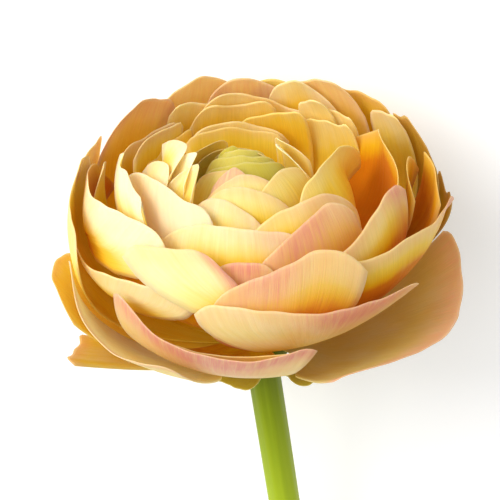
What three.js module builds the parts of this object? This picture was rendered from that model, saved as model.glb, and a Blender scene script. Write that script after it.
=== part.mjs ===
// A double ranunculus flower on a short cut stem, lying on its side.
//
// Every petal, sepal and the stem is a solid of its own. The flower is laid out upright in its own
// frame: +Z runs up through the flower, and the origin is at the base of the receptacle. The whole
// flower is then turned to lie on its guard petals and the end of its stem. Units are millimetres.

import * as THREE from "three";

// ---------------------------------------------------------------- driving dimensions

const STEM_LENGTH = 120;
const STEM_RADIUS = 3.2;
const STEM_TIP_RADIUS = 3.0;
const STEM_LEAN = 0.07;            // sideways run for each millimetre down
const STEM_BOW = 3.0;              // how far the middle bows away from the straight line

const PETAL_THICKNESS = 0.34;
const CLAW_THICKNESS = 0.22;
const THICKENING_END = 1 / 3;      // where along the petal its full thickness is reached
const CLAW_WIDTH = 0.36;           // width at the claw, as a share of the full width
const FAN_CLAW_WIDTH = 0.1;        // the same, for petals that widen only near their rim
const SPREAD = [0, 0.4];           // where along a petal its width begins and ends to grow
const CORNER_DROP = 8;             // degrees that the corners of a rim fall below its line
const SEAT_GAP = 0.3;

const SPAN_DEGREES = 14;           // how much of a turn one facet of a petal covers
const MIN_SPANS_ACROSS = 3;
const LARGE_SHELL = 22;            // petals on larger shells get more rows
const ROWS_LARGE = 8;
const ROWS_SMALL = 6;

// How the flower lies: its axis is tilted up from the floor, after a turn about that axis.
const LIE_TILT = 14.53;
const LIE_TURN = -1.0;

// ---------------------------------------------------------------- the nested shells

// Petals follow egg-shaped shells, one inside the other. A shell is named by its radius at its
// widest ring, and these give the heights of that ring, of its foot and of its top.
const widestHeight = (shell) => 32 - 0.15 * shell - 0.0025 * shell ** 2;
const topHeight = (shell) => 40.5 + 0.0135 * shell ** 2;

// The outer shells hang lower than the inner ones, which leaves a hollow under the bowl.
function footHeight(shell) {
  const step = THREE.MathUtils.smoothstep(shell, 31, 32.4);
  return 21.5 - 0.42 * shell - 6.6 * step;
}

// The bud sits a little to one side of the outer petals.
const centreX = (shell) => 1.7 - 0.142 * (36 - shell);

const clawRadius = (shell) => 2.6 + 0.1 * shell;

const radians = THREE.MathUtils.degToRad;

// The point of a shell at a latitude and an azimuth, moved outwards by a flare.
function shellPoint(shell, latitude, azimuth, flare, offset) {
  const middle = widestHeight(shell);
  const reach = latitude < 0 ? middle - footHeight(shell) : topHeight(shell) - middle;
  const radius = shell * Math.cos(radians(latitude)) + flare;
  return new THREE.Vector3(
    offset + radius * Math.cos(radians(azimuth)),
    radius * Math.sin(radians(azimuth)),
    middle + reach * Math.sin(radians(latitude)),
  );
}

// ---------------------------------------------------------------- petals

// A smooth line through five evenly spaced values, for across = -1 to 1.
function rimLine(values, across) {
  const place = (across + 1) * 2;
  const span = THREE.MathUtils.clamp(Math.floor(place), 0, 3);
  const t = place - span;
  const slope = (k) => {
    const low = Math.max(0, k - 1);
    const high = Math.min(4, k + 1);
    return (values[high] - values[low]) / (high - low);
  };
  const start = (2 * t ** 3 - 3 * t ** 2 + 1) * values[span];
  const startSlope = (t ** 3 - 2 * t ** 2 + t) * slope(span);
  const end = (3 * t ** 2 - 2 * t ** 3) * values[span + 1];
  const endSlope = (t ** 3 - t ** 2) * slope(span + 1);
  return start + startSlope + end + endSlope;
}

// The middle surface of a petal: across runs from -1 to 1, and along from 0 at the claw to 1.
function petalPoint(petal, across, along) {
  const base = Math.acos(Math.min(0.95, clawRadius(petal.shell) / petal.shell));
  const claw = -THREE.MathUtils.radToDeg(base);
  const top = rimLine(petal.rim, across) - CORNER_DROP * Math.abs(across) ** 8;
  const latitude = claw + (top - claw) * along;
  const [spreadStart, spreadEnd] = petal.spread;
  const least = spreadStart === 0 ? CLAW_WIDTH : FAN_CLAW_WIDTH;
  const width = least + (1 - least) * THREE.MathUtils.smoothstep(along, spreadStart, spreadEnd);
  const azimuth = petal.azimuth + petal.half * across * width + petal.twist * (1 - along);
  const [left, middle, right] = petal.flare;
  const lean = middle + ((right - left) / 2) * across + ((left + right) / 2 - middle) * across ** 2;
  const late = Math.max(0, (along - petal.onset) / (1 - petal.onset));
  const rise = THREE.MathUtils.smoothstep(along, 0.1, 0.6);
  const point = shellPoint(petal.shell, latitude, azimuth, lean * late ** 2, centreX(petal.shell) * rise);
  return point.addScaledVector(new THREE.Vector3(...petal.shift), rise);
}

// The direction that faces outwards from the middle surface of a petal.
function petalNormal(petal, across, along) {
  const step = 0.01;
  const acrossWay = petalPoint(petal, across + step, along).sub(petalPoint(petal, across - step, along));
  const alongWay = petalPoint(petal, across, along + step).sub(petalPoint(petal, across, along - step));
  return acrossWay.cross(alongWay).normalize();
}

// A closed thin solid about the middle surface of a petal.
function petalGeometry(petal) {
  const spansAcross = Math.max(MIN_SPANS_ACROSS, Math.ceil((2 * petal.half) / SPAN_DEGREES));
  const spansAlong = petal.shell > LARGE_SHELL ? ROWS_LARGE : ROWS_SMALL;
  const columns = spansAcross + 1;
  const rows = spansAlong + 1;
  const positions = [];
  const sides = [0.5, -0.5];
  for (const side of sides) {
    for (let row = 0; row < rows; row += 1) {
      for (let column = 0; column < columns; column += 1) {
        const across = (2 * column) / spansAcross - 1;
        const along = row / spansAlong;
        const thickening = Math.min(1, along / THICKENING_END);
        const thickness = CLAW_THICKNESS + (PETAL_THICKNESS - CLAW_THICKNESS) * thickening;
        const point = petalPoint(petal, across, along);
        point.addScaledVector(petalNormal(petal, across, along), side * thickness);
        positions.push(point.x, point.y, point.z);
      }
    }
  }
  const outer = (row, column) => row * columns + column;
  const inner = (row, column) => rows * columns + row * columns + column;
  const index = [];
  const quad = (a, b, c, d) => index.push(a, b, c, a, c, d);
  for (let row = 0; row < spansAlong; row += 1) {
    for (let column = 0; column < spansAcross; column += 1) {
      quad(outer(row, column), outer(row, column + 1), outer(row + 1, column + 1), outer(row + 1, column));
      quad(inner(row, column), inner(row + 1, column), inner(row + 1, column + 1), inner(row, column + 1));
    }
  }
  for (let column = 0; column < spansAcross; column += 1) {
    quad(inner(0, column), inner(0, column + 1), outer(0, column + 1), outer(0, column));
    const last = spansAlong;
    quad(outer(last, column), outer(last, column + 1), inner(last, column + 1), inner(last, column));
  }
  for (let row = 0; row < spansAlong; row += 1) {
    const last = spansAcross;
    quad(inner(row + 1, 0), inner(row, 0), outer(row, 0), outer(row + 1, 0));
    quad(outer(row + 1, last), outer(row, last), inner(row, last), inner(row + 1, last));
  }
  const geometry = new THREE.BufferGeometry();
  geometry.setAttribute("position", new THREE.Float32BufferAttribute(positions, 3));
  geometry.setIndex(index);
  geometry.computeVertexNormals();
  return geometry;
}

// name, azimuth of the middle, half width (degrees), shell (mm), rim latitudes from low to high
// azimuth (degrees), flare at low azimuth, middle and high azimuth (mm), where the flare starts,
// and for a few petals how far the claw is turned round from the rim (degrees), how far they
// stand aside of their shell (mm) and where they widen
const PETALS = [
  // guard petals, the loose ones under the bowl
  ["guard_left", 181, 24, 37.0, [-22, -12, -6, -2, -4], [2.5, 2.8, 3], 0.4],
  ["guard_folded", 199, 12, 38.4, [-34, -36, -32, -27, -17], [5, 6, 7], 0.4],
  ["guard_right", 328, 42, 34.4, [-10, -17, -26, -26, -12], [7, 8, 2.5], 0.35],
  ["guard_back_right", 62, 24, 37.2, [-34, -26, -24, -26, -34], [6, 6, 6], 0.4],
  ["guard_back_left", 120, 24, 37.2, [-34, -26, -24, -26, -34], [6, 6, 6], 0.4],
  // the outer bowl, front
  ["saucer_left", 222, 22, 34.8, [18, -2, -13, -13, -9], [3, 5, 3.5], 0.4],
  ["saucer_front", 252, 33, 32.6, [14, -4, -10, -12, -3], [2, 2.5, 2.5], 0.5, -12, [0, 0, 0], [0, 0.6]],
  ["bowl_front", 289, 43, 31.1, [12, 8, 4, 1, -4], [0.5, 2.2, 2.5], 0.6, 0, [0, 0, 0], [0.1, 1.1]],
  ["bowl_front_inner", 279, 28, 30.3, [10, 16, 21, 25, 20], [0, 0.5, 2], 0.6, -15, [0, 0, 0], [0.2, 1]],
  ["wing_right", 330, 37, 28.8, [18, 13, 13.5, 10, 10], [-1, 4, 9], 0.15],
  ["blush_front_left", 242, 20, 29.4, [27, 26, 26, 25, 19], [3, 0.8, -0.5], 0.5,
    60, [-1.5, 0.5, 0], [0, 0.95]],
  ["lip_left", 219, 32, 28.6, [10, 5, 8, 9, 8], [3.2, 2.4, 0], 0.4, -40, [-2.4, 0.8, 0], [0.65, 0.92]],
  // the middle, front and sides
  ["pale_right", 323, 26, 27.6, [16, 18, 24, 28, 30], [0, 1, 3], 0.5],
  ["pale_left", 197, 44, 27.5, [23, 29, 31, 33, 32], [2, 3, 1], 0.5, -60, [-3.2, 1.5, 0], [0.72, 0.85]],
  ["cup_right", 370, 46, 25.4, [20, 26, 42, 24, 4], [1, 6, 2], 0.5],
  ["patch_front", 265, 16, 25.8, [12, 18, 19, 18, 10], [0, 0, 0], 0.5],
  ["coral_front", 297, 29, 24.6, [14, 24, 31, 35, 30], [0, 0, 0], 0.5],
  ["wedge_left", 193, 22, 25.2, [50, 44, 46, 42, 42], [5, 5, 3], 0.5, 40, [0, 0, 0], [0, 0.9]],
  ["cream_front", 258, 40, 23.4, [20, 31, 33, 30, 26], [0, 0, 0], 0.5],
  ["cream_right", 304, 36, 21.7, [30, 36, 38, 36, 24], [0, 0, 0], 0.5],
  ["shell_right", 346, 42, 20.0, [42, 50, 53, 46, 16], [0, 4, 5], 0.8],
  // the bud
  ["bud_pink", 212, 36, 20.0, [42, 48, 50, 44, 40], [5, 4, 0], 0.5, 50],
  ["bud_left_low", 188, 26, 17.6, [36, 50, 56, 54, 44], [4, 4, 4], 0.5, 30],
  ["bud_left_tall", 178, 26, 15.6, [52, 66, 73, 70, 58], [5, 5, 4], 0.5, 0, [0, 0, 1.5]],
  ["bud_left_inner", 217, 8, 15.8, [50, 60, 64, 62, 56], [2, 2, 2], 0.85, 0, [-1, 0, 1.5]],
  ["bud_pale", 206, 26, 12.2, [58, 72, 77, 72, 58], [1, 1, 1], 0.5, 0, [-1, 0, 1]],
  ["bud_front_low", 255, 28, 16.6, [37, 43, 43, 37, 28], [0, 0, 0], 0.5],
  ["bud_front_middle", 270, 40, 15.2, [38, 50, 52, 46, 34], [0, 0, 0], 0.5],
  ["bud_right", 322, 40, 14.2, [42, 50, 54, 50, 40], [0, 0, 0], 0.5],
  ["bud_front_top", 274, 44, 12.8, [42, 56, 62, 58, 46], [0, 0, 0], 0.5],
  ["heart_left", 118, 40, 11.4, [34, 44, 48, 44, 34], [0, 0, 0], 0.5],
  ["heart_back", 60, 60, 10.0, [48, 60, 64, 60, 48], [0, 0, 0], 0.5],
  ["heart_front", 250, 70, 8.6, [46, 60, 66, 60, 46], [0, 0, 0], 0.5],
  // the back, outermost first
  ["side_left", 179, 23, 33.8, [22, 29, 29, 23, 24], [1, 3.5, 3.5], 0.4, 0, [0, 0, 0], [0, 0.9]],
  ["side_right", 19, 8, 36.0, [9, 3, 8, 4, 12], [1, 1, 1], 0.5, 0, [0, 0, 0], [0.5, 1]],
  ["back_right_outer", 26, 11, 35.4, [20, 27, 28, 25, 28], [0.5, 0.5, 0.5], 0.5, 0, [0, 0, 0], [0.4, 1]],
  ["back_left_pink", 136, 19, 34.6, [30, 33, 38, 39, 36], [0, 0, 0], 0.5],
  ["back_left_tan", 108, 17, 35.9, [22, 30, 36, 31, 22], [0, 0, 0], 0.5],
  ["back_striped", 92, 14, 34.1, [28, 31, 35, 33, 28], [0, 0, 0], 0.5],
  ["back_centre", 69, 15, 32.9, [18, 27, 37, 34, 26], [0, 0, 0], 0.5],
  ["back_right_pink", 61, 14, 34.0, [27, 36, 37, 34, 32], [0, 0, 0], 0.5],
  ["back_right_brown", 49, 12, 35.9, [28, 28, 29, 28, 30], [0, 0, 0], 0.5],
  ["back_right_pale", 37, 10, 34.7, [30, 27, 26, 24, 24], [0, 0, 0], 0.5, 0, [0, 0, 0], [0, 0.9]],
  ["slip_right_outer", 5, 11, 28.0, [18, 22, 24, 24, 20], [7, 8, 7], 0.15],
  ["slip_right_inner", 2, 10, 27.0, [22, 26, 27, 26, 22], [4, 5, 6], 0.5],
  ["gold_back_wide", 86, 23, 30.6, [20, 22, 30, 34, 32], [0, 0, 0], 0.5],
  ["gold_back_left", 96, 18, 29.0, [32, 30, 28, 31, 26], [0, 0, 0], 0.5],
  ["yellow_back_fold", 61, 8, 29.5, [32, 34, 34, 31, 30], [0, 0, 0], 0.5],
  ["peach_left", 135, 17, 30.0, [26, 23, 23, 24, 26], [0, 0, 0], 0.5],
  ["gold_back_right", 78, 16, 26.6, [32, 28, 26, 24, 22], [0, 0, 0], 0.5],
  ["thin_back_left", 132, 14, 25.5, [32, 29, 30, 28, 26], [2, 2, 2], 0.5],
  ["thin_back", 92, 24, 21.0, [20, 22, 28, 28, 28], [3, 3, 3], 0.5],
].map(([name, azimuth, half, shell, rim, flare, onset, twist = 0, shift = [0, 0, 0], spread = SPREAD]) => (
  { name, azimuth, half, shell, rim, flare, onset, twist, shift, spread }
));

const petalMaterial = () => new THREE.MeshStandardMaterial({ color: 0xf2cf7a, roughness: 0.6 });

// ---------------------------------------------------------------- sepals

const SEPAL_COUNT = 5;
const SEPAL_FIRST = 18;
const SEPAL_SHELL = 40.2;
const SEPAL_HALF = 22;

const sepals = Array.from({ length: SEPAL_COUNT }, (_, k) => ({
  name: `sepal_${k + 1}`,
  azimuth: SEPAL_FIRST + (360 / SEPAL_COUNT) * k,
  half: SEPAL_HALF,
  shell: SEPAL_SHELL,
  rim: [-64, -66, -67, -66, -64],
  flare: [0, 0, 0],
  onset: 0.5,
  twist: 0,
  shift: [0, 0, 0],
  spread: SPREAD,
}));

const sepalMaterial = () => new THREE.MeshStandardMaterial({ color: 0x8fa03c, roughness: 0.7 });

// ---------------------------------------------------------------- receptacle, carpels and stem

const RECEPTACLE_BOTTOM = -2.0;
const RECEPTACLE_TOP = 17.2;
const RECEPTACLE_TOP_RADIUS = 2.6;
const RECEPTACLE_SIDES = 20;
const RECEPTACLE_SHELLS = [38, 34, 31, 26, 21, 16, 11];
const LOWEST_CLAW = RECEPTACLE_BOTTOM + 0.8;
const HALF_CLAW = 0.3;             // room for half a claw, which slants across the cone

const CARPELS_RADIUS = 2.5;
const CARPELS_HEIGHT = 9;
const CARPELS_SIDES = 14;
const CARPELS_RINGS = 7;

const STEM_SIDES = 18;
const STEM_STATIONS = 16;

// The receptacle is the cone that the claws stand around, with a gap of SEAT_GAP to each.
function receptacleGeometry() {
  const profile = [new THREE.Vector2(0, RECEPTACLE_BOTTOM)];
  profile.push(new THREE.Vector2(STEM_RADIUS, RECEPTACLE_BOTTOM));
  for (const shell of RECEPTACLE_SHELLS) {
    const height = Math.max(LOWEST_CLAW, footHeight(shell));
    profile.push(new THREE.Vector2(clawRadius(shell) - SEAT_GAP - HALF_CLAW, height));
  }
  profile.push(new THREE.Vector2(RECEPTACLE_TOP_RADIUS, RECEPTACLE_TOP));
  profile.push(new THREE.Vector2(0, RECEPTACLE_TOP));
  return uprightLathe(profile, RECEPTACLE_SIDES);
}

// LatheGeometry turns its profile about Y, and this stands it along Z.
function uprightLathe(profile, sides) {
  const geometry = new THREE.LatheGeometry(profile, sides);
  geometry.rotateX(Math.PI / 2);
  return geometry;
}

// The cluster of unripe fruits at the very middle, a blunt egg on top of the receptacle.
function carpelGeometry() {
  const bottom = RECEPTACLE_TOP + SEAT_GAP;
  const profile = [new THREE.Vector2(0, bottom)];
  for (let k = 0; k < CARPELS_RINGS; k += 1) {
    const angle = (Math.PI / 2) * (k / CARPELS_RINGS);
    const height = bottom + CARPELS_HEIGHT * Math.sin(angle);
    profile.push(new THREE.Vector2(CARPELS_RADIUS * Math.cos(angle), height));
  }
  profile.push(new THREE.Vector2(0, bottom + CARPELS_HEIGHT));
  return uprightLathe(profile, CARPELS_SIDES);
}

// The stem: a round section carried down a line that leans and bows a little.
function stemGeometry() {
  const sides = STEM_SIDES;
  const stations = STEM_STATIONS;
  const top = RECEPTACLE_BOTTOM - SEAT_GAP;
  const positions = [];
  const index = [];
  for (let k = 0; k <= stations; k += 1) {
    const t = k / stations;
    const down = STEM_LENGTH * t;
    const middle = new THREE.Vector3(STEM_LEAN * down, STEM_BOW * Math.sin(Math.PI * t), top - down);
    const radius = STEM_RADIUS + (STEM_TIP_RADIUS - STEM_RADIUS) * t;
    for (let side = 0; side < sides; side += 1) {
      const angle = (2 * Math.PI * side) / sides;
      positions.push(middle.x + radius * Math.cos(angle), middle.y + radius * Math.sin(angle), middle.z);
    }
  }
  const at = (station, side) => station * sides + (side % sides);
  for (let station = 0; station < stations; station += 1) {
    for (let side = 0; side < sides; side += 1) {
      index.push(at(station, side), at(station + 1, side), at(station + 1, side + 1));
      index.push(at(station, side), at(station + 1, side + 1), at(station, side + 1));
    }
  }
  for (let side = 1; side < sides - 1; side += 1) {
    index.push(at(0, 0), at(0, side), at(0, side + 1));
    index.push(at(stations, 0), at(stations, side + 1), at(stations, side));
  }
  const geometry = new THREE.BufferGeometry();
  geometry.setAttribute("position", new THREE.Float32BufferAttribute(positions, 3));
  geometry.setIndex(index);
  geometry.computeVertexNormals();
  return geometry;
}

// ---------------------------------------------------------------- assembly

function addPiece(parent, name, geometry, material) {
  const mesh = new THREE.Mesh(geometry, material);
  mesh.name = name;
  parent.add(mesh);
}

const flower = new THREE.Group();
for (const petal of PETALS) {
  addPiece(flower, petal.name, petalGeometry(petal), petalMaterial());
}
for (const sepal of sepals) {
  addPiece(flower, sepal.name, petalGeometry(sepal), sepalMaterial());
}
addPiece(flower, "receptacle", receptacleGeometry(), new THREE.MeshStandardMaterial({ color: 0xa8b45a }));
addPiece(flower, "carpels", carpelGeometry(), new THREE.MeshStandardMaterial({ color: 0x7f8f2c }));
addPiece(flower, "stem", stemGeometry(), new THREE.MeshStandardMaterial({ color: 0x9cc23a, roughness: 0.5 }));

// Laid down: the back of the flower is on the floor, and its face looks along +Y and a little up.
flower.rotation.set(radians(LIE_TILT - 90), 0, radians(LIE_TURN));

const group = new THREE.Group();
group.add(flower);
group.updateMatrixWorld(true);
const box = new THREE.Box3().setFromObject(group, true);
flower.position.set(-(box.min.x + box.max.x) / 2, -(box.min.y + box.max.y) / 2, -box.min.z);
group.updateMatrixWorld(true);

export default group;
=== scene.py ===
"""A double ranunculus flower that lies on its guard petals and the end of its stem.

Most petals are made here as fine thin shells on the same nested shells as the frame's plain ones,
which they replace. The rest are small or hidden petals that the frame doesn't hold. Lengths are
millimetres in the flower's own frame (+Z up through the flower) until to_world turns them into the
row's metres.
"""

import math
from dataclasses import dataclass

import bpy
import numpy as np
from mathutils import Matrix, Vector


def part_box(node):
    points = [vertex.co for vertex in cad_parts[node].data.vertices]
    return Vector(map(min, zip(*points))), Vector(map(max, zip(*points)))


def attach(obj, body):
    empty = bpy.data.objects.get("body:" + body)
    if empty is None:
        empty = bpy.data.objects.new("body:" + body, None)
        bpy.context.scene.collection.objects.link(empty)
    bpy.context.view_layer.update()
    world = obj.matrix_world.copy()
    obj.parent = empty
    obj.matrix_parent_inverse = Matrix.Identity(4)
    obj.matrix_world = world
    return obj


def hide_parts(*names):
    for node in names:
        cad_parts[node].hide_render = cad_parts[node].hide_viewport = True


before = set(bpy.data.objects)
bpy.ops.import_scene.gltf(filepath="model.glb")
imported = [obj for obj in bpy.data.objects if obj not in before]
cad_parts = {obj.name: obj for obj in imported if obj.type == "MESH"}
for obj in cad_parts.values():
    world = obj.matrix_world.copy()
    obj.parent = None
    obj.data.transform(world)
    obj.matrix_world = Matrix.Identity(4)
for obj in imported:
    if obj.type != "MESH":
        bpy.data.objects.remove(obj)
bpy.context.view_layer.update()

# ---------------------------------------------------------------- the flower's own frame

MM = 0.001
STEM_LENGTH = 120
STEM_RADIUS = 3.2
STEM_TIP_RADIUS = 3.0
STEM_LEAN = 0.07            # sideways run for each millimetre down
STEM_BOW = 3.0              # how far the middle bows away from the straight line
STEM_TOP = -2.3             # its height, just below the receptacle
LIE_TILT = 14.53            # degrees that the flower's axis is tilted up from the floor
LIE_TURN = -1.0             # degrees that it is first turned about that axis


def stem_middle(t):
    """The middle of the stem, for t from 0 at its top to 1 at its cut end."""
    down = STEM_LENGTH * t
    return np.stack([STEM_LEAN * down, STEM_BOW * np.sin(math.pi * t), STEM_TOP - down], -1)


def tube(stations, sides, radius):
    """Points (station, side) around the stem's line; radius is a function of t and angle."""
    t = np.linspace(0, 1, stations + 1)[:, None]
    angle = np.arange(sides)[None, :] * (2 * math.pi / sides)
    reach = radius(t, angle)
    middle = stem_middle(t[:, 0])[:, None, :]
    ring = np.stack([reach * np.cos(angle), reach * np.sin(angle), 0 * reach], -1)
    return middle + ring


def plain_radius(t, angle):
    return STEM_RADIUS + (STEM_TIP_RADIUS - STEM_RADIUS) * t + 0 * angle


TURN = np.array(
    Matrix.Rotation(math.radians(LIE_TILT - 90), 3, "X")
    @ Matrix.Rotation(math.radians(LIE_TURN), 3, "Z")
)

# The frame's stem has this many stations and sides, so its box says where the flower was set down.
CAD_STEM_STATIONS = 16
CAD_STEM_SIDES = 18
turned_stem = tube(CAD_STEM_STATIONS, CAD_STEM_SIDES, plain_radius).reshape(-1, 3) @ TURN.T
SET_DOWN = np.array(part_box("stem")[0]) - turned_stem.min(0) * MM


def to_world(points):
    """Flower millimetres to row metres."""
    return np.asarray(points) @ TURN.T * MM + SET_DOWN


# ---------------------------------------------------------------- nested shells

# A shell is named by its radius at its widest ring, and its heights follow from that.


def smoothstep(low, high, x):
    t = np.clip((x - low) / (high - low), 0, 1)
    return t * t * (3 - 2 * t)


def widest_height(shell):
    return 32 - 0.15 * shell - 0.0025 * shell**2


def top_height(shell):
    return 40.5 + 0.0135 * shell**2


def foot_height(shell):
    return 21.5 - 0.42 * shell - 6.6 * smoothstep(31, 32.4, shell)


def centre_x(shell):
    """How far the shell stands to one side of the outermost ones."""
    return 1.7 - 0.142 * (36 - shell)


def claw_radius(shell):
    """The distance of a petal's foot from the axis."""
    return 2.6 + 0.1 * shell


def rim_line(values, across):
    """A smooth line through five evenly spaced values, for across = -1 to 1."""
    values = np.array(values, float)
    place = (across + 1) * 2
    span = np.clip(np.floor(place), 0, 3).astype(int)
    t = place - span
    low = np.maximum(0, np.arange(5) - 1)
    high = np.minimum(4, np.arange(5) + 1)
    slope = (values[high] - values[low]) / (high - low)
    start = (2 * t**3 - 3 * t**2 + 1) * values[span] + (t**3 - 2 * t**2 + t) * slope[span]
    end = (3 * t**2 - 2 * t**3) * values[span + 1] + (t**3 - t**2) * slope[span + 1]
    return start + end


# ---------------------------------------------------------------- petals

CLAW_WIDTH = 0.36           # width at the claw, as a share of the full width
FAN_CLAW_WIDTH = 0.1        # the same, for petals that widen only near their rim
CORNER_DROP = 8             # degrees that the corners of a rim fall below its line
CORNER_POWER = 8            # how close to the corners that fall begins
HIGHEST_START = 0.95        # cosine of the highest latitude where a petal may start
SHIFT_RISE = (0.1, 0.6)     # shares of its height between which a petal leaves the axis
RIM_WAVES = (0.22, 0.5, 1.1)        # radians of each wave to a millimetre across the petal
RUFFLE_WAVES = (0.2, 0.45, 0.8)
RUFFLE_SEED = 500           # added to a petal's seed, for its ruffle
WANDER_SIZE = 1.4           # brings a mean of waves to about -1 to 1

CLAW_THICKNESS = 0.22
PETAL_THICKNESS = 0.34
THICKENED_BY = 0.33         # where along the petal its full thickness is reached
RIM_THINNING = 0.2          # mm lost from THINNING_START to the rim
THINNING_START = 0.6

COLUMN_AREA = 28            # shell radius (mm) times half width (degrees) for each column of points
COLUMN_LIMITS = (14, 44)
ROWS = 30
SMALL_SHELL = 12            # petals on shells up to this one get fewer rows
SMALL_ROWS = 22
ROW_CROWDING = 1.25         # over 1 sets the rows closer together near the rim

INNER_PALING = (0.76, 1.02)     # where along the petal its inner face pales
OUTER_PALING = 0.2              # how much of its height its outer face takes to pale
INNER_PINK = 0.9                # pink of the inner face, as a share of the outer one's
EDGE_TOP = 0.975                # where the painted pale highlight along the edge begins, along and across
EDGE_SIDE = 0.97
MAP_STEP = 37                   # mm between two petals' places in the streaks
MAP_HEIGHT = 1.6                # a petal's mapped length, as a share of its shell's radius


@dataclass
class Petal:
    """A petal's shape, nearly as in the frame where that holds it, and its looks."""

    name: str
    azimuth: float          # degrees
    half: float             # half its width, degrees
    shell: float            # mm
    rim: tuple              # latitudes of its rim, degrees, from low to high azimuth
    flare: tuple = (0, 0, 0)    # mm outwards at the rim: low azimuth, middle, high azimuth
    onset: float = 0.5      # share of its height where the flare starts
    twist: float = 0.0      # degrees that its claw is turned round from its rim
    shift: tuple = (0, 0, 0)    # mm that it stands aside of its shell
    spread: tuple = (0, 0.4)    # shares of its height between which it widens from its claw
    slot: str = "bowl_petal"
    ruffle: float = 0.15    # mm that the rim waves in and out
    notch: float = 0.35     # degrees that the rim wanders up and down
    outside: tuple = (0.62, 0.18)   # depth of colour at the claw and at the rim, outer face
    inside: tuple = (0.85, 0.34)    # the same, inner face
    sink: float = 0.76      # share of its height where its outer face begins to pale; the deeper colour below is partly painted shade from the petals in front
    lip: float = 0.25       # pink along the rim
    lip_width: float = 0.1
    blush: tuple = (0, 0, 0.5, 0.5)  # strength, middle across, width across, start along
    olive: float = 0        # yellow-green tissue of the heart and sepals; on the right-hand outer petals also painted shade
    painted_shade: float = 0         # painted shade: a brown mixed in where shade falls on the petal, mostly on the right-hand and outer petals


def wander(x, seed, waves):
    """A smooth line between about -1 and 1 that the seed alone decides."""
    draw = np.random.default_rng(seed)
    total = 0
    for wave in waves:
        total = total + np.sin(wave * x + draw.uniform(0, 2 * math.pi)) / len(waves)
    return total * WANDER_SIZE


def petal_points(petal, across, along, seed):
    """The middle surface of a petal."""
    cosine = min(HIGHEST_START, claw_radius(petal.shell) / petal.shell)
    base = -math.degrees(math.acos(cosine))
    arc = across * petal.half * petal.shell * math.pi / 180
    top = rim_line(petal.rim, across) - CORNER_DROP * np.abs(across) ** CORNER_POWER
    top = top + petal.notch * wander(arc, seed, RIM_WAVES)
    latitude = np.radians(base + (top - base) * along)
    claw = CLAW_WIDTH if petal.spread[0] == 0 else FAN_CLAW_WIDTH
    width = claw + (1 - claw) * smoothstep(*petal.spread, along)
    azimuth = np.radians(petal.azimuth + petal.half * across * width + petal.twist * (1 - along))
    left, middle, right = petal.flare
    lean = middle + (right - left) / 2 * across + ((left + right) / 2 - middle) * across**2
    late = np.maximum(0, (along - petal.onset) / (1 - petal.onset))
    ruffle = petal.ruffle * along**3 * wander(arc, seed + RUFFLE_SEED, RUFFLE_WAVES)
    radial = lean * late**2 + ruffle
    radius = petal.shell * np.cos(latitude) + radial
    middle_height = widest_height(petal.shell)
    below = middle_height - foot_height(petal.shell)
    above = top_height(petal.shell) - middle_height
    reach = np.where(latitude < 0, below, above)
    rise = smoothstep(*SHIFT_RISE, along)
    offset = centre_x(petal.shell) * rise
    return np.stack(
        [
            offset + petal.shift[0] * rise + radius * np.cos(azimuth),
            petal.shift[1] * rise + radius * np.sin(azimuth),
            petal.shift[2] * rise + middle_height + reach * np.sin(latitude),
        ],
        -1,
    )


def surface_normals(points):
    up = np.gradient(points, axis=0)
    sideways = np.gradient(points, axis=1)
    normal = np.cross(sideways, up)
    return normal / np.linalg.norm(normal, axis=-1, keepdims=True)


def shell_faces(rows, columns):
    """Quads of a closed shell whose outer grid of points comes first and its inner one second."""
    faces = []
    inner = rows * columns

    def strip(a, b):
        for k in range(len(a) - 1):
            faces.append((a[k], a[k + 1], b[k + 1], b[k]))

    for row in range(rows - 1):
        low = [row * columns + c for c in range(columns)]
        high = [k + columns for k in low]
        strip(low, high)
        strip([k + inner for k in high], [k + inner for k in low])
    bottom = list(range(columns))
    top = [(rows - 1) * columns + c for c in range(columns)]
    left = [row * columns for row in range(rows)]
    right = [row * columns + columns - 1 for row in range(rows)]
    strip([k + inner for k in bottom], bottom)
    strip(top, [k + inner for k in top])
    strip(left, [k + inner for k in left])
    strip([k + inner for k in right], right)
    return faces


def new_mesh(name, points, faces, material):
    """A smooth piece of the flower that rides with it."""
    mesh = bpy.data.meshes.new(name)
    mesh.from_pydata(to_world(points).tolist(), [], faces)
    mesh.shade_smooth()
    mesh.materials.append(material)
    piece = bpy.data.objects.new(name, mesh)
    bpy.context.scene.collection.objects.link(piece)
    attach(piece, "root")
    return piece


def paint(mesh, name, values):
    """A number on every vertex, for the material to read."""
    layer = mesh.attributes.new(name, "FLOAT", "POINT")
    layer.data.foreach_set("value", np.asarray(values, np.float32).ravel())


def lay_out(mesh, across_mm, along_mm):
    """A UV map in centimetres along and across the petal."""
    layer = mesh.uv_layers.new(name="petal")
    corner = np.empty(len(mesh.loops), np.int32)
    mesh.loops.foreach_get("vertex_index", corner)
    pair = np.stack([across_mm.ravel()[corner], along_mm.ravel()[corner]], -1) / 10
    layer.data.foreach_set("uv", pair.astype(np.float32).ravel())


def petal_grid(petal):
    """Places across (-1 to 1) and along (0 to 1) a petal, in rows from its claw to its rim."""
    columns = 1 + int(np.clip(petal.half * petal.shell / COLUMN_AREA, *COLUMN_LIMITS))
    rows = ROWS if petal.shell > SMALL_SHELL else SMALL_ROWS
    across = np.linspace(-1, 1, columns)[None, :]
    along = (1 - (1 - np.linspace(0, 1, rows)) ** ROW_CROWDING)[:, None]
    return np.broadcast_arrays(across, along)


def both(outer, inner):
    """One list of values for the outer face's points and then the inner face's."""
    return np.concatenate([outer.ravel(), inner.ravel()])


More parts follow.
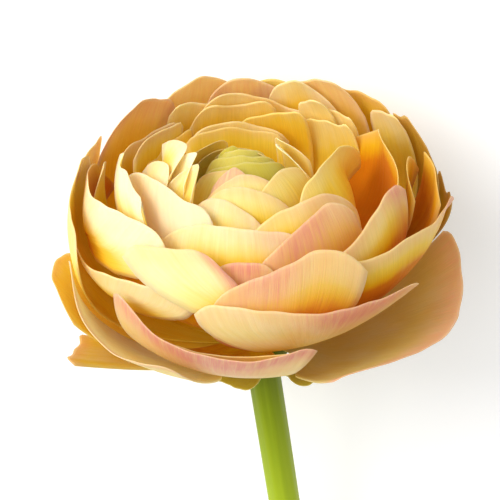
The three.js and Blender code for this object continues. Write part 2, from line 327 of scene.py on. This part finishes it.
def paint_petal(mesh, petal, across, along):
    """The vertex values that the petals' material reads."""
    # The outer face's deeper colour below sink is partly the tissue's own and partly painted shade
    # where the petals in front shade it.
    rise_out = smoothstep(petal.sink, petal.sink + OUTER_PALING, along)
    rise_in = smoothstep(*INNER_PALING, along)
    depth_out = petal.outside[0] + (petal.outside[1] - petal.outside[0]) * rise_out
    depth_in = petal.inside[0] + (petal.inside[1] - petal.inside[0]) * rise_in
    strength, centre, spread, start = petal.blush
    patch = strength * np.exp(-(((across - centre) / spread) ** 2)) * smoothstep(start, 1, along)
    lip = petal.lip * smoothstep(1 - petal.lip_width, 1, along)
    pink = np.clip(patch + lip, 0, 1)
    # A painted highlight along the petal's top and side edges.
    side_highlight = smoothstep(EDGE_SIDE, 1, np.abs(across)) * along
    edge = np.maximum(smoothstep(EDGE_TOP, 1, along), side_highlight)
    # Olive, which on the right-hand outer petals is partly painted shade, evenly over the petal.
    olive = np.full(along.shape, petal.olive, float)
    # Painted shade, in brown, evenly over the petal.
    painted_shade = np.full(along.shape, petal.painted_shade, float)
    paint(mesh, "depth", both(depth_out, depth_in))
    paint(mesh, "pink", both(pink, pink * INNER_PINK))
    paint(mesh, "olive", both(olive, olive))
    paint(mesh, "painted_shade", both(painted_shade, painted_shade))
    paint(mesh, "edge", both(edge, edge))


def make_petal(petal, seed, material):
    across, along = petal_grid(petal)
    middle = petal_points(petal, across, along, seed)
    thickness = CLAW_THICKNESS + (PETAL_THICKNESS - CLAW_THICKNESS) * smoothstep(0, THICKENED_BY, along)
    thickness = thickness - RIM_THINNING * smoothstep(THINNING_START, 1, along)
    step = surface_normals(middle) * thickness[..., None] / 2
    points = np.concatenate([(middle + step).reshape(-1, 3), (middle - step).reshape(-1, 3)])
    faces = shell_faces(*across.shape)
    piece = new_mesh("petal_" + petal.name, points, faces, material)
    paint_petal(piece.data, petal, across, along)
    across_mm = across * petal.half * petal.shell * math.pi / 180 + seed * MAP_STEP
    along_mm = along * petal.shell * MAP_HEIGHT
    lay_out(piece.data, both(across_mm, across_mm), both(along_mm, along_mm))
    return piece


# ---------------------------------------------------------------- node helpers


def srgb(red, green, blue):
    """A colour as the eye names it, 0 to 255, to the shader's linear one."""
    def linear(value):
        share = value / 255
        return share / 12.92 if share <= 0.04045 else ((share + 0.055) / 1.055) ** 2.4
    return (linear(red), linear(green), linear(blue), 1.0)


class Graph:
    """Short names for building a node tree."""

    def __init__(self, name):
        self.material = bpy.data.materials.new(name)
        self.material.use_nodes = True
        self.tree = self.material.node_tree
        self.shader = self.tree.nodes["Principled BSDF"]

    def node(self, kind, **settings):
        made = self.tree.nodes.new(kind)
        for key, value in settings.items():
            setattr(made, key, value)
        return made

    def join(self, source, target):
        self.tree.links.new(source, target)

    def put(self, value, socket):
        """A link where value is a socket, and a plain value where it isn't."""
        if isinstance(value, bpy.types.NodeSocket):
            self.join(value, socket)
        else:
            socket.default_value = value

    def attribute(self, name):
        return self.node("ShaderNodeAttribute", attribute_name=name).outputs["Fac"]

    def math(self, operation, first, second=0.0, third=0.0, clamp=False):
        made = self.node("ShaderNodeMath", operation=operation, use_clamp=clamp)
        for value, socket in zip((first, second, third), made.inputs):
            self.put(value, socket)
        return made.outputs[0]

    def mix(self, share, first, second, blend="MIX"):
        made = self.node("ShaderNodeMix", data_type="RGBA", blend_type=blend)
        self.put(share, made.inputs["Factor"])
        self.put(first, made.inputs[6])
        self.put(second, made.inputs[7])
        return made.outputs[2]

    def ramp(self, share, stops):
        made = self.node("ShaderNodeValToRGB")
        elements = made.color_ramp.elements
        while len(elements) < len(stops):
            elements.new(0.5)
        for element, (place, colour) in zip(elements, stops):
            element.position = place
            element.color = colour
        self.put(share, made.inputs["Fac"])
        return made.outputs["Color"]

    def noise(self, vector, scale, detail, rough=0.5):
        made = self.node("ShaderNodeTexNoise")
        made.inputs["Scale"].default_value = scale
        made.inputs["Detail"].default_value = detail
        made.inputs["Roughness"].default_value = rough
        self.join(vector, made.inputs["Vector"])
        return made.outputs["Fac"]

    def stretch(self, vector, scale):
        made = self.node("ShaderNodeMapping")
        made.inputs["Scale"].default_value = scale
        self.join(vector, made.inputs["Vector"])
        return made.outputs["Vector"]

    def bump(self, height, distance, strength):
        made = self.node("ShaderNodeBump")
        made.inputs["Distance"].default_value = distance
        made.inputs["Strength"].default_value = strength
        self.join(height, made.inputs["Height"])
        self.join(made.outputs["Normal"], self.shader.inputs["Normal"])


# ---------------------------------------------------------------- materials

# From the palest tissue to the deepest, and then what is mixed over it.
CREAM = srgb(252, 238, 188)
STRAW = srgb(248, 220, 138)
GOLD = srgb(244, 203, 68)
AMBER = srgb(236, 180, 12)
ORANGE = srgb(210, 118, 4)
CORAL = srgb(212, 134, 116)
# Olive: the heart's and sepals' own yellow-green, and also painted shade on the right-hand outer
# petals.
OLIVE = srgb(176, 162, 44)
# Painted shade: the brown that darkens petals where shade falls on them.
SHADE_BROWN = srgb(126, 84, 22)
# Painted highlight: the pale line where light catches a petal's edge.
EDGE_HIGHLIGHT = srgb(255, 238, 204)

STEM_SHADE = srgb(66, 80, 2)
STEM_UPPER = srgb(112, 132, 2)
STEM_MIDDLE = srgb(164, 186, 36)
STEM_CUT = srgb(188, 206, 88)
STEM_STREAK = srgb(200, 214, 50)

FLOOR_DARK = (0.90, 0.90, 0.90, 1)
FLOOR_LIGHT = (0.94, 0.94, 0.94, 1)

# How many streaks and clouds there are to a map's centimetre, across and along a petal.
STREAK_SCALE = (9, 0.55, 1)
HAIR_SCALE = (46, 1.3, 1)
CLOUD_SCALE = (1.2, 0.9, 1)
STREAK_DEPTH = 0.18         # how much streaks and clouds vary the depth of colour
CLOUD_DEPTH = 0.4
EDGE_SHARE = 0.15           # how much of the painted edge highlight shows on the very edge
SHADE_SHARE = 0.8           # how much of the hairlines' light and dark shows


def petal_material():
    """Silky petal tissue: fine streaks from claw to rim, deeper colour low down that on the outer face
    is partly painted shade, pink at the rim, a painted highlight along the edge and a faint painted
    glow.
    """
    g = Graph("petal_tissue")
    uv = g.node("ShaderNodeUVMap", uv_map="petal").outputs["UV"]
    streak = g.noise(g.stretch(uv, STREAK_SCALE), 1.0, 5, 0.62)
    hair = g.noise(g.stretch(uv, HAIR_SCALE), 1.0, 3, 0.6)
    cloud = g.noise(g.stretch(uv, CLOUD_SCALE), 1.0, 3)
    depth = g.attribute("depth")
    varied = g.math("MULTIPLY_ADD", g.math("SUBTRACT", streak, 0.5), STREAK_DEPTH, depth)
    varied = g.math("MULTIPLY_ADD", g.math("SUBTRACT", cloud, 0.5), CLOUD_DEPTH, varied)
    tones = [(0.0, CREAM), (0.28, STRAW), (0.52, GOLD), (0.76, AMBER), (1.0, ORANGE)]
    colour = g.ramp(varied, tones)
    # Olive tissue, which on the right-hand outer petals also stands in for their shade.
    colour = g.mix(g.attribute("olive"), colour, OLIVE)
    # Painted shade: brown mixed over the petals that lie in shade.
    colour = g.mix(g.attribute("painted_shade"), colour, SHADE_BROWN)
    uneven = g.math("MULTIPLY_ADD", hair, 1.3, g.math("MULTIPLY_ADD", streak, 0.8, -0.2))
    pink = g.math("MULTIPLY", g.attribute("pink"), uneven, clamp=True)
    colour = g.mix(pink, colour, CORAL)
    shade = g.math("MULTIPLY_ADD", hair, 0.34, 0.83)
    grey = g.node("ShaderNodeCombineColor")
    for socket in grey.inputs:
        g.join(shade, socket)
    colour = g.mix(SHADE_SHARE, colour, grey.outputs[0], "MULTIPLY")
    # Painted highlight: a pale line along each petal's edge.
    colour = g.mix(g.math("MULTIPLY", g.attribute("edge"), EDGE_SHARE), colour, EDGE_HIGHLIGHT)
    g.join(colour, g.shader.inputs["Base Color"])
    g.join(g.math("MULTIPLY_ADD", streak, 0.2, 0.42), g.shader.inputs["Roughness"])
    # Painted glow: the tissue gives off a little light in its own colour, standing in for light passing
    # through the petals, so their shaded hollows stay bright.
    g.join(colour, g.shader.inputs["Emission Color"])
    g.shader.inputs["Emission Strength"].default_value = 0.07
    g.shader.inputs["Specular IOR Level"].default_value = 0.12
    g.shader.inputs["Sheen Weight"].default_value = 0.02
    g.shader.inputs["Subsurface Weight"].default_value = 0.35
    g.shader.inputs["Subsurface Radius"].default_value = (1.0, 0.7, 0.2)
    g.shader.inputs["Subsurface Scale"].default_value = 0.0012
    height = g.math("ADD", g.math("MULTIPLY", hair, 0.4), streak)
    g.bump(height, 0.00015, 0.7)
    return g.material


def stem_material():
    """Smooth green skin with fine streaks, darkest just under the flower."""
    g = Graph("stem_skin")
    uv = g.node("ShaderNodeUVMap", uv_map="petal").outputs["UV"]
    streak = g.noise(g.stretch(uv, (9, 0.3, 1)), 1.0, 4)
    down = g.attribute("depth")
    tones = [(0.0, STEM_SHADE), (0.10, STEM_UPPER), (0.35, STEM_MIDDLE), (1.0, STEM_CUT)]
    colour = g.ramp(down, tones)
    colour = g.mix(g.math("MULTIPLY", streak, 0.3), colour, STEM_STREAK)
    g.join(colour, g.shader.inputs["Base Color"])
    g.shader.inputs["Roughness"].default_value = 0.42
    g.shader.inputs["Specular IOR Level"].default_value = 0.12
    g.shader.inputs["Subsurface Weight"].default_value = 0.04
    g.shader.inputs["Subsurface Scale"].default_value = 0.001
    g.bump(streak, 0.0002, 0.6)
    return g.material


def floor_material():
    """A pale floor, faintly uneven, that gives back a little light of its own."""
    g = Graph("pale_floor")
    place = g.node("ShaderNodeTexCoord").outputs["Object"]
    tone = g.noise(place, 3.0, 2)
    colour = g.ramp(tone, [(0.0, FLOOR_DARK), (1.0, FLOOR_LIGHT)])
    g.join(colour, g.shader.inputs["Base Color"])
    g.join(colour, g.shader.inputs["Emission Color"])
    g.shader.inputs["Emission Strength"].default_value = 0.2
    g.shader.inputs["Roughness"].default_value = 0.9
    return g.material


# ---------------------------------------------------------------- the petals

GUARD = dict(slot="guard_petal")
BUD = dict(slot="bud_petal", ruffle=0.08, notch=0.3)
HEART = dict(slot="heart_petal", ruffle=0.08, notch=0.3)
BACK = dict(slot="back_petal", notch=0.6, ruffle=0.25)

# The petals that the frame holds too, from the outermost to the heart, and then the back.
PETALS = [
    Petal("guard_left", 181, 24, 37.0, (-22, -12, -6, -2, -4), (2.5, 2.8, 3), 0.4,
          outside=(0.7, 0.6), inside=(0.6, 0.5), painted_shade=0.15, lip=0.4, **GUARD),
    Petal("guard_folded", 199, 12, 38.4, (-34, -36, -32, -27, -17), (5, 6, 7), 0.4,
          outside=(0.6, 0.5), inside=(0.5, 0.5), painted_shade=0.45, lip=0.5, **GUARD),
    Petal("guard_right", 331, 45, 34.4, (-10, -17, -26, -26, -12), (7, 8, 4), 0.35,
          outside=(0.5, 0.3), inside=(0.3, 0.15), sink=0.5, olive=0.36, painted_shade=0.34, lip=0.8,
          lip_width=0.25, **GUARD),
    Petal("guard_back_right", 62, 24, 37.2, (-34, -26, -24, -26, -34), (6, 6, 6), 0.4,
          outside=(0.5, 0.4), inside=(0.45, 0.35), olive=0.4, painted_shade=0.3, **GUARD),
    Petal("guard_back_left", 120, 24, 37.2, (-34, -26, -24, -26, -34), (6, 6, 6), 0.4,
          outside=(0.6, 0.45), inside=(0.6, 0.4), olive=0.2, painted_shade=0.3, **GUARD),
    Petal("saucer_left", 222, 22, 34.8, (18, -2, -13, -13, -9), (3, 5, 3.5), 0.4,
          outside=(0.5, 0.3), inside=(0.15, 0.05), sink=0.3, lip=0.6, painted_shade=0.12),
    Petal("saucer_front", 252, 33, 32.6, (14, -4, -10, -12, -3), (2, 2.5, 2.5), 0.5, -12,
          spread=(0, 0.6),
          outside=(0.6, 0.25), inside=(0.35, 0.25), sink=0.35, lip=0.7, lip_width=0.2,
          blush=(1, 0.1, 0.8, 0.3), painted_shade=0.12),
    Petal("bowl_front", 289, 43, 31.1, (12, 8, 4, 1, -4), (0.5, 2.2, 2.5), 0.6, spread=(0.1, 1.1),
          outside=(0.5, 0.26), inside=(0.9, 0.6), sink=0.5, lip=0.35, lip_width=0.25,
          blush=(0.9, 0.35, 0.5, 0.5), painted_shade=0.1),
    Petal("bowl_front_inner", 279, 28, 30.3, (10, 16, 21, 25, 20), (0, 0.5, 2), 0.6, -15,
          spread=(0.2, 1),
          outside=(1, 0.3), inside=(0.9, 0.6), sink=0.74, lip=0.5, lip_width=0.3,
          blush=(0.5, -0.2, 0.4, 0.7), painted_shade=0.06),
    Petal("wing_right", 330, 37, 28.8, (18, 13, 13.5, 10, 10), (-1, 4, 9), 0.15,
          outside=(1.1, 0.34), inside=(1, 0.8), sink=0.78, olive=0.12, painted_shade=0.14, lip=0.4,
          blush=(0.9, 1, 0.4, 0.4)),
    Petal("blush_front_left", 242, 20, 29.1, (27, 26, 26, 25, 19), (3, 0.8, -0.5), 0.5, 100,
          shift=(-1.5, 0.5, 0), spread=(0.72, 0.95),
          outside=(0.8, 0.2), inside=(0.9, 0.6), sink=0.7, lip=0.25, blush=(1.1, 0.66, 0.28, 0.55)),
    Petal("lip_left", 219, 32, 28.6, (10, 5, 8, 9, 8), (3.2, 2.4, 0), 0.4, -40, shift=(-2.4, 0.8, 0),
          spread=(0.65, 0.92),
          outside=(0.8, 0.2), inside=(0.9, 0.6), sink=0.72, lip=0.3, lip_width=0.12),
    Petal("pale_right", 323, 26, 27.6, (16, 18, 24, 28, 30), (0, 1, 3), 0.5,
          outside=(1, 0.3), inside=(1, 0.8), sink=0.76, lip=0.5, painted_shade=0.1, blush=(0.6, 0.8, 0.3, 0.6)),
    Petal("pale_left", 197, 44, 27.5, (23, 29, 31, 33, 32), (2, 3, 1), 0.5, -60,
          shift=(-3.2, 1.5, 0), spread=(0.72, 0.85),
          outside=(1.1, 0.06), inside=(1, 0.6), sink=0.7, lip=0.2, lip_width=0.2,
          blush=(0.35, -0.6, 0.3, 0.6)),
    Petal("cup_right", 370, 46, 25.4, (20, 26, 42, 24, 4), (1, 6, 2), 0.5,
          outside=(0.7, 0.5), inside=(1.1, 0.7), sink=0.7, painted_shade=0.12, lip=0.35),
    Petal("patch_front", 265, 16, 25.8, (12, 18, 19, 18, 10),
          outside=(0.6, 0.25), blush=(0.9, 0, 0.7, 0.4)),
    Petal("coral_front", 297, 29, 24.6, (14, 24, 31, 35, 30),
          outside=(0.8, 0.3), inside=(0.9, 0.7), sink=0.78, lip=0.6, lip_width=0.35,
          blush=(0.4, -0.1, 0.6, 0.6), painted_shade=0.05),
    Petal("wedge_left", 193, 22, 25.2, (50, 44, 46, 42, 42), (5, 5, 3), 0.5, 130, spread=(0.6, 1.05),
          outside=(0.8, 0.05), inside=(0.9, 0.5), lip=0.2),
    Petal("cream_front", 258, 40, 23.4, (20, 31, 33, 30, 26),
          outside=(0.7, 0.14), inside=(0.8, 0.4), sink=0.78, lip=0.2, blush=(0.4, 0.6, 0.4, 0.7),
          painted_shade=0.04),
    Petal("cream_right", 304, 36, 21.7, (30, 36, 38, 36, 24),
          outside=(0.8, 0.3), inside=(0.8, 0.5), sink=0.78, lip=0.3, blush=(0.3, 0.4, 0.5, 0.6),
          painted_shade=0.04),
    Petal("shell_right", 346, 42, 20.0, (42, 50, 53, 46, 16), (0, 4, 5), 0.8,
          outside=(0.6, 0.34), inside=(0.9, 0.6), olive=0.15, lip=0.2),
    Petal("bud_pink", 212, 36, 20.0, (42, 48, 50, 44, 40), (5, 4, 0), twist=50,
          outside=(0.3, 0.0), inside=(0.7, 0.4), sink=0.55, lip=0.14, lip_width=0.6,
          blush=(0.2, -0.2, 0.8, 0.5), **BUD),
    Petal("bud_left_low", 188, 26, 17.6, (36, 50, 56, 54, 44), (4, 4, 4), twist=30,
          outside=(0.5, 0.12), inside=(0.7, 0.4), olive=0.04, **BUD),
    Petal("bud_left_tall", 178, 26, 15.6, (52, 66, 73, 70, 58), (5, 5, 4), shift=(0, 0, 1.5),
          outside=(0.5, 0.1), inside=(0.7, 0.4), olive=0.04, **BUD),
    Petal("bud_left_inner", 220, 14, 15.8, (44, 57, 64, 60, 44), (2, 2, 2), 0.85, shift=(-1, 0, 1.5),
          outside=(0.5, 0.2), inside=(0.6, 0.3), olive=0.08, **BUD),
    Petal("bud_pale", 204, 20, 12.5, (56, 70, 76, 70, 54), (3, 4, 4), shift=(-1, 0, 2.2),
          outside=(0.2, 0.0), inside=(0.5, 0.3), lip=0, **BUD),
    Petal("bud_front_low", 255, 28, 16.6, (37, 43, 43, 37, 28),
          outside=(0.55, 0.16), inside=(0.6, 0.4), lip=0.35, olive=0.05, **BUD),
    Petal("bud_front_middle", 270, 40, 15.2, (38, 50, 52, 46, 34),
          outside=(0.6, 0.24), inside=(0.6, 0.4), lip=0.35, olive=0.08, **BUD),
    Petal("bud_right", 322, 40, 14.2, (42, 50, 54, 50, 40),
          outside=(0.5, 0.34), inside=(0.6, 0.4), olive=0.2, **BUD),
    Petal("bud_front_top", 274, 44, 12.8, (42, 56, 62, 58, 46),
          outside=(0.6, 0.28), inside=(0.6, 0.4), lip=0.5, olive=0.12, **BUD),
    Petal("heart_left", 118, 40, 11.4, (34, 44, 48, 44, 34),
          outside=(0.5, 0.4), inside=(0.5, 0.4), olive=0.4, **HEART),
    Petal("heart_back", 60, 60, 10.0, (48, 60, 64, 60, 48),
          outside=(0.4, 0.3), inside=(0.5, 0.4), olive=0.6, **HEART),
    Petal("heart_front", 250, 70, 8.6, (46, 60, 66, 60, 46),
          outside=(0.4, 0.3), inside=(0.5, 0.4), olive=0.4, lip=0.4, **HEART),
    Petal("side_left", 179, 23, 33.8, (22, 29, 29, 23, 24), (1, 3.5, 3.5), 0.4, spread=(0, 0.9),
          outside=(0.5, 0.3), inside=(0.7, 0.4), lip=0.4, **BACK),
    Petal("side_right", 19, 8, 36.0, (9, 3, 8, 4, 12), (1, 1, 1), spread=(0.5, 1),
          outside=(0.8, 0.7), inside=(0.8, 0.7), painted_shade=0.6, olive=0.3, **BACK),
    Petal("back_right_outer", 26, 11, 35.4, (20, 27, 28, 25, 28), (0.5, 0.5, 0.5), spread=(0.4, 1),
          outside=(0.7, 0.6), inside=(0.8, 0.6), painted_shade=0.5, olive=0.3, **BACK),
    Petal("back_left_pink", 136, 19, 34.6, (30, 33, 38, 38, 30),
          outside=(0.5, 0.3), inside=(0.7, 0.18), lip=0.9, lip_width=0.25, painted_shade=0.04, **BACK),
    Petal("back_left_tan", 108, 17, 35.9, (22, 30, 36, 31, 22),
          outside=(0.5, 0.4), inside=(0.6, 0.2), lip=0.6, lip_width=0.4, painted_shade=0.08, **BACK),
    Petal("back_striped", 92, 14, 34.1, (28, 31, 35, 33, 28),
          outside=(0.4, 0.2), inside=(0.55, 0.1), lip=0.7, lip_width=0.3, painted_shade=0.02, **BACK),
    Petal("back_centre", 69, 15, 32.9, (18, 27, 37, 34, 26),
          outside=(0.4, 0.2), inside=(0.75, 0.06), lip=0.15, **BACK),
    Petal("back_right_pink", 61, 14, 34.0, (27, 36, 37, 34, 32),
          outside=(0.5, 0.3), inside=(0.65, 0.15), lip=0.6, lip_width=0.3, olive=0.08, **BACK),
    Petal("back_right_brown", 49, 12, 35.9, (28, 28, 29, 28, 30),
          outside=(0.7, 0.5), inside=(0.8, 0.55), painted_shade=0.3, lip=0.4, **BACK),
    Petal("back_right_pale", 37, 10, 34.7, (30, 27, 26, 24, 24), spread=(0, 0.9),
          outside=(0.4, 0.3), inside=(0.6, 0.2), painted_shade=0.05, **BACK),
    Petal("slip_right_outer", 5, 11, 28.0, (18, 22, 24, 24, 20), (7, 8, 7), 0.15,
          outside=(1, 0.75), inside=(1, 0.7), painted_shade=0.25, lip=0.2, **BACK),
    Petal("slip_right_inner", 2, 10, 27.0, (22, 26, 27, 26, 22), (4, 5, 6), 0.5,
          outside=(1, 0.75), inside=(1, 0.7), painted_shade=0.25, lip=0.2, **BACK),
    Petal("gold_back_wide", 86, 23, 30.6, (20, 22, 30, 34, 32),
          outside=(0.5, 0.4), inside=(0.75, 0.22), lip=0.35, lip_width=0.06, **BACK),
    Petal("gold_back_left", 96, 18, 29.0, (32, 30, 28, 31, 26),
          outside=(0.5, 0.4), inside=(0.75, 0.3), lip=0.25, lip_width=0.06, **BACK),
    Petal("yellow_back_fold", 61, 8, 29.5, (32, 34, 34, 31, 30),
          outside=(0.4, 0.3), inside=(0.5, 0.15), olive=0.08, lip=0, **BACK),
    Petal("peach_left", 135, 17, 30.0, (26, 23, 23, 24, 26),
          outside=(0.5, 0.3), inside=(0.9, 0.2), lip=0.4, lip_width=0.1, **BACK),
    Petal("gold_back_right", 78, 16, 26.6, (32, 28, 26, 24, 22),
          outside=(0.5, 0.4), inside=(0.7, 0.4), olive=0.03, lip=0, **BACK),
    Petal("thin_back_left", 132, 14, 25.5, (32, 29, 30, 28, 26), (2, 2, 2),
          outside=(0.5, 0.3), inside=(0.9, 0.3), lip=0.4, lip_width=0.08, **BACK),
    Petal("thin_back", 92, 24, 21.0, (20, 22, 28, 28, 28), (3, 3, 3),
          outside=(0.5, 0.3), inside=(0.7, 0.3), painted_shade=0.08, **BACK),
]

# Petals that the frame doesn't hold, because they are small or hidden.
EXTRAS = [
    Petal("bowl_left_low", 226, 44, 26.5, (10, 14, 15, 14, 10), spread=(0, 0.12),
          outside=(0.9, 0.8)),
    Petal("saucer_front_low", 250, 32, 31.9, (-14, -18, -20, -20, -16), spread=(0, 0.12),
          outside=(0.4, 0.35), sink=0.3),
    Petal("back_left_wing", 160, 12, 34.9, (26, 28, 29, 29, 24), (1.5, 1.5, 1.5),
          outside=(0.5, 0.3), inside=(0.7, 0.4), lip=0.6, lip_width=0.4, **BACK),
    Petal("back_left_narrow", 166, 12, 30.6, (20, 24, 26, 24, 20), (1.5, 1, 0.5),
          outside=(0.4, 0.2), inside=(0.8, 0.3), **BACK),
    Petal("back_green", 82, 9, 35.2, (26, 29, 31, 29, 26),
          outside=(0.5, 0.4), inside=(0.5, 0.4), olive=0.4, **BACK),
    Petal("fold_back_left", 108, 15, 31.6, (28, 25, 28, 31, 34),
          outside=(0.3, 0.2), inside=(0.75, 0.2), lip=0.2, **BACK),
    Petal("yellow_back_low", 53, 13, 27.8, (30, 24, 24, 22, 24),
          outside=(0.5, 0.4), inside=(0.6, 0.3), olive=0.05, lip=0, **BACK),
    Petal("pale_back_low", 52, 7, 30.4, (26, 24, 26, 26, 26),
          outside=(0.4, 0.3), inside=(0.55, 0.2), lip=0.1, **BACK),
    Petal("thin_left", 126, 13, 22.0, (28, 21, 18, 11, 14), (4, 4, 4),
          outside=(0.5, 0.3), inside=(0.9, 0.6), **BACK),
    Petal("thin_heart_back", 94, 26, 18.5, (22, 22, 28, 27, 26), (4, 4, 4),
          outside=(0.4, 0.3), inside=(0.8, 0.4), painted_shade=0.12, olive=0.1, **BACK),
    Petal("heart_olive", 128, 30, 11.0, (50, 62, 66, 62, 50), (3, 3, 3),
          outside=(0.4, 0.3), inside=(0.5, 0.45), olive=0.5, painted_shade=0.2, **HEART),
    Petal("heart_green_1", 270, 80, 6.0, (56, 64, 70, 64, 56), shift=(1.5, 4.5, 1.2),
          outside=(0.4, 0.3), inside=(0.4, 0.3), olive=0.7, lip=0, **HEART),
    Petal("heart_green_2", 266, 80, 8.0, (54, 62, 68, 62, 54), shift=(1.5, 3.5, 0.8),
          outside=(0.4, 0.3), inside=(0.4, 0.3), olive=0.75, lip=0, **HEART),
    Petal("heart_green_3", 274, 76, 9.6, (52, 60, 66, 60, 52), shift=(1.5, 2.5, 0.2),
          outside=(0.4, 0.3), inside=(0.4, 0.3), olive=0.8, lip=0, **HEART),
    Petal("heart_green_4", 262, 60, 4.6, (56, 66, 72, 66, 56), shift=(0.5, 5, 1.4),
          outside=(0.4, 0.3), inside=(0.4, 0.3), olive=0.9, lip=0, **HEART),
    Petal("heart_pink", 262, 30, 11.2, (56, 66, 70, 66, 56),
          outside=(0.4, 0.2), inside=(0.5, 0.4), lip=0.8, lip_width=0.4, **HEART),
    Petal("heart_tip_1", 40, 20, 14.0, (40, 52, 56, 50, 40), (2, 2, 2),
          outside=(0.3, 0.1), inside=(0.45, 0.15), olive=0.1, lip=0.2, **HEART),
    Petal("heart_tip_2", 22, 26, 12.6, (44, 56, 62, 58, 44), (2, 2, 2),
          outside=(0.3, 0.0), inside=(0.45, 0.15), olive=0.1, lip=0, **HEART),
]

SEPAL_COUNT = 5
SEPAL_FIRST = 18            # azimuth of the first, degrees
SEPAL_STEP = 72

SEPALS = [
    Petal(f"sepal_{k + 1}", SEPAL_FIRST + SEPAL_STEP * k, 22, 40.2, (-64, -66, -67, -66, -64),
          outside=(0.2, 0.2), inside=(0.3, 0.3), olive=0.9, lip=0, slot="sepal", notch=0.3, ruffle=0)
    for k in range(SEPAL_COUNT)
]

tissue = petal_material()
for seed, petal in enumerate(PETALS + SEPALS + EXTRAS):
    piece = make_petal(petal, seed, tissue)
    if petal not in EXTRAS:
        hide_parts(petal.name)

# ---------------------------------------------------------------- stem, receptacle and carpels


STEM_STATIONS = 90
STEM_SIDES = 48
RIB_ROOM = 0.06             # mm that the ribs' middle lies inside the plain stem
STEM_GIRTH = 20.0           # mm round the stem


def ribbed_radius(t, angle):
    """The plain stem's radius with nine faint ribs, and five fainter ones that wind a little."""
    ribs = 0.05 * np.cos(9 * angle) + 0.03 * np.cos(5 * angle + 6 * t)
    return plain_radius(t, angle) - RIB_ROOM + ribs


def stem_faces():
    """Quads round the stem, and a fan of triangles to the middle of each end."""
    last = STEM_STATIONS * STEM_SIDES
    top_middle = last + STEM_SIDES
    cut_middle = top_middle + 1
    ring = [(side, (side + 1) % STEM_SIDES) for side in range(STEM_SIDES)]
    faces = []
    for upper in range(0, last, STEM_SIDES):
        lower = upper + STEM_SIDES
        faces += [(upper + a, lower + a, lower + b, upper + b) for a, b in ring]
    for a, b in ring:
        faces.append((top_middle, a, b))
        faces.append((cut_middle, last + b, last + a))
    return faces


def make_stem():
    sides = tube(STEM_STATIONS, STEM_SIDES, ribbed_radius).reshape(-1, 3)
    points = np.concatenate([sides, stem_middle(np.array([0.0, 1.0]))])
    piece = new_mesh("stem_skin", points, stem_faces(), stem_material())
    t = np.repeat(np.linspace(0, 1, STEM_STATIONS + 1), STEM_SIDES)
    turn = np.tile(np.arange(STEM_SIDES), STEM_STATIONS + 1) * (STEM_GIRTH / STEM_SIDES)
    paint(piece.data, "depth", np.concatenate([t, [0, 1]]))
    down_mm = np.concatenate([t * STEM_LENGTH, [0, STEM_LENGTH]])
    lay_out(piece.data, np.concatenate([turn, [0, 0]]), down_mm)
    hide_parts("stem")


make_stem()

# The receptacle and the carpels stay as the frame has them.
green = stem_material()
for name in ("receptacle", "carpels"):
    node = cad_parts[name]
    node.data.materials.clear()
    node.data.materials.append(green)

# ---------------------------------------------------------------- floor, light and camera


FLOOR_SIZE = 6              # metres


def make_floor():
    bpy.ops.mesh.primitive_plane_add(size=FLOOR_SIZE)
    floor = bpy.context.object
    floor.name = "floor"
    floor.data.materials.append(floor_material())


CAMERA_ELEVATION = 32       # above the flower's equator, degrees
CAMERA_ROLL = 4             # the head leans to the left in the picture, degrees
CAMERA_DISTANCE = 500
SENSOR = 36
LENS = 193
CLIP_NEAR = 0.01            # metres
CLIP_FAR = 20
LOOKS_AT = np.array([0.0, 0.0, 25.0])
AIM_LEFT = 0.37             # the camera aims this much to the left of that point, and lower
AIM_DOWN = 3.36

LIGHT_DISTANCE = 2500
WORLD_STRENGTH = 0.62

elevation = math.radians(CAMERA_ELEVATION)
roll = math.radians(CAMERA_ROLL)
# The camera's own directions in the flower's frame: back is from what it looks at to the camera.
back = np.array([0, -math.cos(elevation), math.sin(elevation)])
level_up = np.array([0, math.sin(elevation), math.cos(elevation)])
right = np.array([math.cos(roll), 0, 0]) - math.sin(roll) * level_up
up = np.array([math.sin(roll), 0, 0]) + math.cos(roll) * level_up


def facing(position, target, up_way):
    """A matrix for something at position that looks at target. All in flower millimetres."""
    place = Vector(to_world(position))
    away = (place - Vector(to_world(target))).normalized()
    upward = Vector(TURN @ up_way)
    side = upward.cross(away).normalized()
    upward = away.cross(side)
    matrix = Matrix((side, upward, away)).transposed().to_4x4()
    matrix.translation = place
    return matrix


def make_camera():
    data = bpy.data.cameras.new("camera")
    data.sensor_width = SENSOR
    data.lens = LENS
    data.clip_start = CLIP_NEAR
    data.clip_end = CLIP_FAR
    camera = bpy.data.objects.new("camera", data)
    bpy.context.scene.collection.objects.link(camera)
    aim = LOOKS_AT - AIM_LEFT * right - AIM_DOWN * up
    camera.matrix_world = facing(LOOKS_AT + CAMERA_DISTANCE * back, aim, up)
    bpy.context.scene.camera = camera


def add_light(name, way, size, watts):
    """A square soft light: way is (right, up, towards the camera) in the picture."""
    direction = way[0] * right + way[1] * up + way[2] * back
    direction = direction / np.linalg.norm(direction)
    data = bpy.data.lights.new(name, "AREA")
    data.size = size
    data.energy = watts
    light = bpy.data.objects.new(name, data)
    bpy.context.scene.collection.objects.link(light)
    light.matrix_world = facing(LOOKS_AT + direction * LIGHT_DISTANCE, LOOKS_AT, up)


make_floor()
make_camera()
add_light("key", (-0.7, 0.3, 0.85), size=1.4, watts=43)
add_light("fill", (-0.35, -0.05, 0.93), size=1.6, watts=18)

world = bpy.data.worlds.new("studio")
world.use_nodes = True
sky = world.node_tree.nodes["Background"]
sky.inputs["Color"].default_value = (1, 1, 1, 1)
sky.inputs["Strength"].default_value = WORLD_STRENGTH
bpy.context.scene.world = world
bpy.context.scene.view_settings.view_transform = "Standard"
